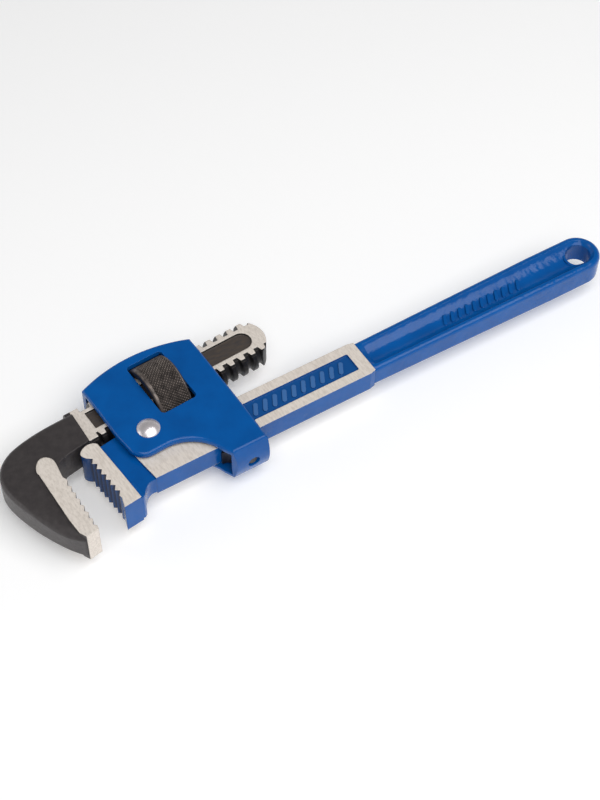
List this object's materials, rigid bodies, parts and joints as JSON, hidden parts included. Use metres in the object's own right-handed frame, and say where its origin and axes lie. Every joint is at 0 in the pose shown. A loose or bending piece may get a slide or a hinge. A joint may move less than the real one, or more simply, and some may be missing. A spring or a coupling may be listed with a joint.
{
  "type": "adjustable pipe wrench",
  "caption": "Straight pipe wrench with a hook jaw on a screw shank, a knurled adjusting nut in a pivoting housing and a fixed heel jaw on a channelled handle.",
  "frame": {"origin": "centre of the hanging hole in the handle's end, on the tool's mid-plane", "axes": "+X along the handle, away from the jaws; +Y towards the screw shank; +Z out of the flat side, along the hanging hole"},
  "size_m": [0.3057, 0.0763, 0.0306],
  "materials": {
    "blue_paint": "gloss enamel, with ground bare steel flats",
    "housing_paint": "gloss enamel over a cast surface",
    "forged_steel": "satin black phosphate, with ground bare steel faces",
    "nut_steel": "dark brown phosphate, diamond knurled",
    "rivet_zinc": "bright zinc plate",
    "spring_steel": "blued spring strip"
  },
  "bodies": {
    "handle": {"heel_jaw": "blue_paint", "handle_bar": "blue_paint", "handle_grip": "blue_paint"},
    "frame": {"housing": "housing_paint", "pivot_rivet": "rivet_zinc", "heel_spring": "spring_steel", "heel_spring_rivet": "rivet_zinc", "jaw_spring": "spring_steel", "jaw_spring_rivet": "rivet_zinc"},
    "nut": {"adjusting_nut": "nut_steel"},
    "jaw": {"hook_jaw": "forged_steel"}
  },
  "joints": [
    {"name": "frame_pivot", "type": "hinge", "parent": "handle", "child": "frame", "pos_m": [-0.228, 0.0123, 0], "axis": [0, 0, 1], "range_deg": [0, 2], "stiffness_Nm_per_rad": 6, "springref_deg": -4.01, "deforming": ["heel_spring"]},
    {"name": "nut_spin", "type": "hinge", "parent": "frame", "child": "nut", "pos_m": [-0.211, 0.034, 0], "axis": [0.9983, 0.0576, 0], "range_deg": [-541, 2792]},
    {"name": "jaw_slide", "type": "slide", "parent": "frame", "child": "jaw", "axis": [-0.9983, -0.0576, 0], "range_m": [-0.00847, 0.04375]}
  ],
  "couplings": [
    {"joint": "nut_spin", "follows": "jaw_slide", "rad_per_m": 1113.2}
  ]
}
